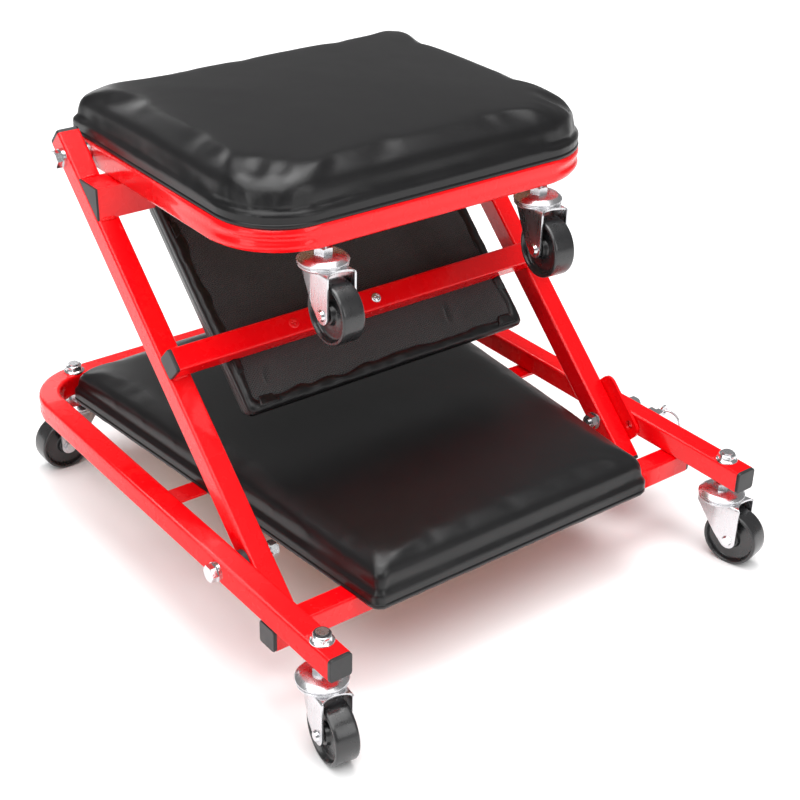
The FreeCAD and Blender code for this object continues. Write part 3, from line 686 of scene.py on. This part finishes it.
for side, label in ((-1, "left"), (1, "right")):
    for end, way, position in ((middle_low, 1, "low"), (middle_high, -1, "high")):
        foot = (end + way * 3 * MM, side * (MIDDLE_HALF - 9 * MM), 0)
        folded_tab(f"middle_tab_{position}_{label}", "rails", at_middle, foot, (0, -side, 0), (way, 0, 0),
                   20 * MM, 9 * MM)
        edge = (end + way * 34 * MM, side * (MIDDLE_HALF - 3 * MM), 0)
        folded_tab(f"middle_pleat_{position}_{label}", "rails", at_middle, edge, (way, 0, 0), (0, -side, 0),
                   16 * MM, 7 * MM)


def screw_face(name, y, slot, top, recess, replaced=()):
    """A screw head on the middle crossbar, domed by top and sunk by recess along its cross."""
    bar = sum(span("middle_crossbar", ALONG, LOWER_PIVOT)) / 2
    head = 4.6 * MM
    radii = np.linspace(0.02, 1, 14)
    vertices, faces = lathe([(head * r, top * math.sqrt(1 - r * r)) for r in radii], 96)
    shaped = []
    for x, across, z in vertices:
        crossed = min(abs(x), abs(across)) < 0.6 * MM and math.hypot(x, across) < 2.4 * MM
        shaped.append((bar + x, y + across, -TUBE - z + (recess if crossed else 0)))
    piece(name, seated(shaped, *at_middle), faces, slot, "rails", replaced)


screws_low, screws_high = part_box("middle_cushion_screws")
screw_face("middle_pan_screw", screws_high.y - 4.6 * MM, "chrome_plate", 2.2 * MM, 1.3 * MM,
           ("middle_cushion_screws",))
screw_face("middle_dimple_screw", screws_low.y + 4.6 * MM, "red_paint", 0.9 * MM, 0.7 * MM)


def dust_cover():
    """Thin mesh cloth stapled over the middle board, a little loose between its staples."""
    inset = 6 * MM
    low, high, half = middle_low + inset, middle_high - inset, MIDDLE_HALF - inset
    bar = span("middle_crossbar", ALONG, LOWER_PIVOT)
    rows, columns = 96, 132
    slits = ((0.10, -0.86, 0.05), (0.21, -0.33, 0.075), (0.12, 0.52, 0.05), (0.87, -0.5, 0.06),
             (0.9, 0.3, 0.05))      # each one's place up and across the cloth, and its length
    vertices = []
    for i in range(rows):
        for j in range(columns):
            s = low + (high - low) * i / (rows - 1)
            y = half * (2 * j / (columns - 1) - 1)
            edge = min(i, j, rows - 1 - i, columns - 1 - j)
            wander = 1.5 * MM * noise.noise(Vector((s * 40, y * 40, 7))) * max(0, 1 - edge / 3)
            loose = ((1 + noise.noise(Vector((s * 22, y * 14, 1)))) * 0.9
                     + 0.5 * noise.noise(Vector((s * 70, y * 50, 3))))
            clear = min(1, max(0, min(abs(s - bar[0]), abs(s - bar[1])) / (9 * MM)))
            if bar[0] < s < bar[1]:
                clear = 0
            lift = 1.3 * MM + loose * MM * min(1, edge / 4) * clear
            for along, across, length in slits:
                u = i / (rows - 1) - along
                v = 2 * j / (columns - 1) - 1 - across - 0.25 * u
                if abs(u) < 2.5 * length:
                    pinch = math.exp(-(v / 0.012) ** 2) * max(0, 1 - (u / length) ** 2)
                    ruck = math.exp(-(v / 0.07) ** 2) * max(0, 1 - (u / (2.5 * length)) ** 2) ** 2
                    lift += (1.3 * ruck - 3.4 * pinch) * MM * clear
            vertices.append((s + wander, y + wander, -lift))
    obj = piece("dust_cover_cloth", seated(vertices, *at_middle), grid_faces(rows, columns), "mesh_cloth",
                "rails", ("middle_dust_cover",))
    thicken(obj, 0.4 * MM, 0)
    return obj


dust_cover()


# ---------------------------------------------------------------- bent tubes
def bent_tube(name, node, body, closed_sign, bend, depth):
    """U-shaped square tube whose bends are creased lengthways, as thin tube creases when it is bent."""
    low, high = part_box(node)
    half = high.y - TUBE / 2
    z = (low.z + high.z) / 2
    tip, closed = (low.x, high.x) if closed_sign > 0 else (high.x, low.x)
    bar = closed - closed_sign * TUBE / 2
    bend_x = bar - closed_sign * bend
    path = [(Vector((tip, -half, z)), closed_sign * X, 0.0),
            (Vector((bend_x, -half, z)), closed_sign * X, 0.0)]
    for side in (-1, 1):
        centre = Vector((bend_x, side * (half - bend), z))
        turns = np.linspace(0, math.pi / 2, 19)[1:-1]
        arc = []
        for t in turns:
            out = closed_sign * X * math.sin(t) + Y * side * math.cos(t)
            ahead = closed_sign * X * math.cos(t) - Y * side * math.sin(t)
            arc.append((centre + out * bend, ahead, math.sin(2 * t) ** 0.5))
        if side > 0:
            arc = [(point, -ahead, crease) for point, ahead, crease in reversed(arc)]
        ends = [(Vector((bar, side * (half - bend), z)), -side * Y if side < 0 else Y, 0.0)]
        path += arc + ends if side < 0 else ends + arc
    path += [(Vector((bend_x, half, z)), -closed_sign * X, 0.0),
             (Vector((tip, half, z)), -closed_sign * X, 0.0)]
    section = rounded_ring([(-TUBE / 2, -TUBE / 2), (TUBE / 2, -TUBE / 2),
                            (TUBE / 2, TUBE / 2), (-TUBE / 2, TUBE / 2)],
                           [2.2 * MM] * 4, 0.9 * MM)
    vertices = []
    for point, ahead, crease in path:
        out = ahead.cross(Z) * closed_sign
        for across, up in section:
            face = min(1, max(0, (abs(across) - 0.3 * TUBE) / (0.2 * TUBE)))
            ridges = math.cos(up / TUBE * 4 * math.pi) * 0.5 + 0.5
            sink = crease * face * (0.3 + depth * ridges) * MM * (1 if across > 0 else -0.5)
            vertices.append(point + out * (across - sink) + Z * up)
    columns = len(section)
    faces = grid_faces(len(path), columns, wrap_columns=True)
    faces += [tuple(range(columns)), tuple(range((len(path) - 1) * columns, len(path) * columns))]
    return piece(name, vertices, faces, "red_paint", body, (node,))


bent_tube("lower_frame_bent_tube", "lower_frame_tube", "lower_frame", -1, 42 * MM, 0.7)
bent_tube("seat_frame_bent_tube", "seat_frame_tube", "seat", 1, 50 * MM, 2.2)


def weld(name, body, start, end, radius, lean):
    """A painted weld bead: a row of overlapping ripples from start to end."""
    run = end - start
    ahead = run.normalized()
    side = lean.normalized()
    up = ahead.cross(side)
    rows, columns = max(8, int(run.length / (0.8 * MM))), 12
    vertices = []
    for i in range(rows):
        share = i / (rows - 1)
        taper = min(1, 5 * min(share, 1 - share) + 0.25)
        ripple = 1 + 0.16 * math.sin(share * run.length / (2.4 * MM) * 2 * math.pi)
        wander = noise.noise(start * 300 + Vector((share * 9, 0, 0))) * 0.4 * MM
        for j in range(columns):
            t = 2 * math.pi * j / columns
            r = radius * taper * ripple
            out = side * (r * math.cos(t) + wander)
            vertices.append(start + run * share + out + up * (r * math.sin(t) * 0.8))
    faces = grid_faces(rows, columns, wrap_columns=True)
    faces += [tuple(range(columns)), tuple(range((rows - 1) * columns, rows * columns))]
    return piece(name, vertices, faces, "red_paint", body)


RAIL_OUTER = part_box("rail_right")[1].y
RAIL_MID = RAIL_OUTER - TUBE / 2
mid_bar = span("middle_crossbar", ALONG, LOWER_PIVOT)
rest_slope = [((v.co - LOWER_PIVOT).dot(ALONG)) for v in nodes["seat_rest_bar"].data.vertices
              if (v.co - LOWER_PIVOT).dot(FACING) < TUBE / 2 + 0.2 * MM]
ARM_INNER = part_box("lower_frame_tube")[1].y - TUBE
for side, label in ((-1, "left"), (1, "right")):
    across = Y * (side * RAIL_MID)
    for k, reach in enumerate((*mid_bar, min(rest_slope), max(rest_slope))):
        foot = LOWER_PIVOT + ALONG * reach + FACING * TUBE / 2 + across
        weld(f"weld_rail_{label}_{k}", "rails", foot - Y * 7 * MM, foot + Y * 7 * MM, 1.9 * MM, FACING)
    for bar in ("lower_front_crossbar", "lower_rear_crossbar"):
        bar_low, bar_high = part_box(bar)
        for k, x in enumerate((bar_low.x, bar_high.x)):
            corner = Vector((x, side * (ARM_INNER + TUBE / 2), bar_high.z))
            weld(f"weld_{bar}_{label}_{k}", "lower_frame", corner - Y * 7 * MM, corner + Y * 7 * MM,
                 1.5 * MM, X)


# ---------------------------------------------------------------- casters
CROWN_TOP, FOOT = -16.0 * MM, 7.5 * MM
FORK_HALF = 13.5 * MM


def leg_bottom(x, trail, axle):
    """Lower edge of a fork leg: a slope from the back of the crown to a round foot under the axle."""
    back = Vector((-17.5 * MM, CROWN_TOP - 8 * MM))
    centre = Vector((trail, axle))
    reach = centre - back
    slope = math.atan2(reach.y, reach.x) - math.asin(FOOT / reach.length)
    touch = back.x + math.sqrt(reach.length ** 2 - FOOT ** 2) * math.cos(slope)
    if x < touch:
        return back.y + math.tan(slope) * (x - back.x)
    return axle - math.sqrt(max(0, FOOT ** 2 - (x - trail) ** 2))


def fork_shell(trail, axle):
    """Pressed sheet: a crown with a hollowed front edge, folded down into two legs."""
    front = trail + FOOT
    stations = list(np.linspace(-17.5 * MM, trail, 22))
    stations += [trail + FOOT * math.sin(t) for t in np.linspace(0.15, math.pi / 2, 9)]
    fold = 2.5 * MM
    vertices = []
    for x in stations:
        half = FORK_HALF - 0.24 * max(0, 3 * MM - x)
        bottom = leg_bottom(x, trail, axle)
        leg = [(half, z) for z in np.linspace(bottom, CROWN_TOP - fold, 12)]
        curve = [(half - fold * (1 - math.cos(t)), CROWN_TOP - fold + fold * math.sin(t))
                 for t in np.linspace(0, math.pi / 2, 6)[1:]]
        top = [(y, CROWN_TOP) for y in np.linspace(half - fold, 0, 7)[1:]]
        right = leg + curve + top
        hollow = 5 * MM * max(0, (x - 8 * MM) / (front - 8 * MM))
        for y, z in right + [(-y, z) for y, z in reversed(right[:-1])]:
            drawn = hollow * max(0, 1 - (y / half) ** 2)
            vertices.append((x - drawn, y, z))
    columns = len(vertices) // len(stations)
    return vertices, grid_faces(len(stations), columns)


WHEEL_HALF_PROFILE = [(3.3, 9.7), (7.6, 9.7), (8.4, 9.3), (8.9, 6.8), (9.8, 5.6), (18.8, 5.2), (20.6, 5.7),
                      (21.5, 7.2), (22.0, 9.4), (22.6, 9.95), (23.7, 9.95), (24.5, 9.5), (24.9, 8.6),
                      (25.0, 7.4), (25.0, 3.0), (25.0, 0.0)]
RACE_PROFILE = [(0, -8.6), (10.5, -8.6), (11.5, -9.0), (15.5, -9.3), (17.5, -10.0), (19.2, -11.6),
                (20.3, -12.4),
                (20.5, -13.2), (20.1, -13.8), (18.6, -14.1), (18.4, -14.7), (0, -14.7)]
CUP_PROFILE = [(0, -14.9), (18.6, -14.9), (19.7, -15.2), (20.0, -16.0), (19.6, -17.2), (18.4, -18.4),
               (15.0, -18.6),
               (0, -18.6)]


def scaled(profile):
    return [(r * MM, h * MM) for r, h in profile]


for caster in ("front_left", "front_right", "rear_left", "rear_right", "seat_left", "seat_right"):
    stem = Vector(joints[caster + "_swivel"]["pos_m"])
    hub = Vector(joints[caster + "_roll"]["pos_m"])
    holder = joints[caster + "_swivel"]["parent"]
    level = Vector((hub.x - stem.x, hub.y - stem.y, 0))
    trail, axle = level.length, hub.z - stem.z
    ahead = level.normalized()
    side = Z.cross(ahead)
    place = (stem, ahead, side, Z)

    vertices, faces = fork_shell(trail, axle)
    fork = piece(f"{caster}_fork_shell", seated(vertices, *place), faces, "zinc_plate", f"{caster}_fork",
                 (f"caster_{caster}_fork",))
    thicken(fork, 1.8 * MM, -1)
    soften(fork, 0.35 * MM, 50)
    vertices, faces = lathe(scaled(CUP_PROFILE))
    soften(piece(f"{caster}_lower_race", seated(vertices, *place), faces, "zinc_plate", f"{caster}_fork"),
           0.25 * MM)

    profile = WHEEL_HALF_PROFILE + [(r, -h) for r, h in reversed(WHEEL_HALF_PROFILE[:-1])]
    vertices, faces = lathe(scaled(profile), 96)
    wheel = piece(f"{caster}_moulded_wheel", seated(vertices, hub, ahead, Z, side), faces, "wheel_plastic",
                  f"{caster}_wheel", (f"caster_{caster}_wheel",))
    soften(wheel, 0.3 * MM)

    vertices, faces = lathe(scaled(RACE_PROFILE))
    race = piece(f"{caster}_upper_race", seated(vertices, *place), faces, "zinc_plate", holder)
    soften(race, 0.25 * MM)


def hexagonal(across, turn):
    """Radius of a hexagon at an angle."""
    return across / 2 / math.cos((turn + math.pi / 6) % (math.pi / 3) - math.pi / 6)


NUT_ACROSS = 14.0
NUT_SECTION = [(9.4, 0.0), (9.6, 0.5), (9.0, 1.3), (7.9, 1.9), (None, 2.2), (None, 5.0), (7.0, 6.2),
               (6.3, 6.6), (5.0, 6.6)]      # radius and height in mm; None where the section is a hexagon


def flange_nuts(spots):
    """Flanged lock nuts on the stems of the lower casters."""
    steps = 72
    vertices, faces = [], []
    for spot in spots:
        base = len(vertices)
        for turn in np.linspace(0, 2 * math.pi, steps, endpoint=False):
            for radius, height in NUT_SECTION:
                reach = min(7.9, hexagonal(NUT_ACROSS, turn)) if radius is None else radius
                vertices.append(spot + Vector((reach * math.cos(turn), reach * math.sin(turn), height)) * MM)
        faces += [tuple(base + k for k in quad)
                  for quad in grid_faces(steps, len(NUT_SECTION), wrap_rows=True)]
    piece("flange_nuts", vertices, faces, "chrome_plate", "lower_frame", ("lower_caster_nuts",))


arm_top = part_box("lower_frame_tube")[1].z
nut_spots = []
for caster in ("front_left", "front_right", "rear_left", "rear_right"):
    stem = Vector(joints[caster + "_swivel"]["pos_m"])
    nut_spots.append(Vector((stem.x, stem.y, arm_top)))
flange_nuts(nut_spots)
vertices, faces = lathe(scaled([(5.0, 6.5), (6.4, 6.5), (6.5, 7.1), (6.1, 7.6), (5.4, 7.7), (5.0, 7.4)]))
piece("lock_nut_ring", [nut_spots[0] + v for v in vertices], faces, "nylon", "lower_frame")


# ---------------------------------------------------------------- floor
def floor():
    size = 6.0
    mesh = bpy.data.meshes.new("floor")
    corners = [(-size, -size, 0), (size, -size, 0), (size, size, 0), (-size, size, 0)]
    mesh.from_pydata(corners, [], [(0, 1, 2, 3)])
    obj = bpy.data.objects.new("floor", mesh)
    mesh.materials.append(pale_floor())
    bpy.context.collection.objects.link(obj)


floor()
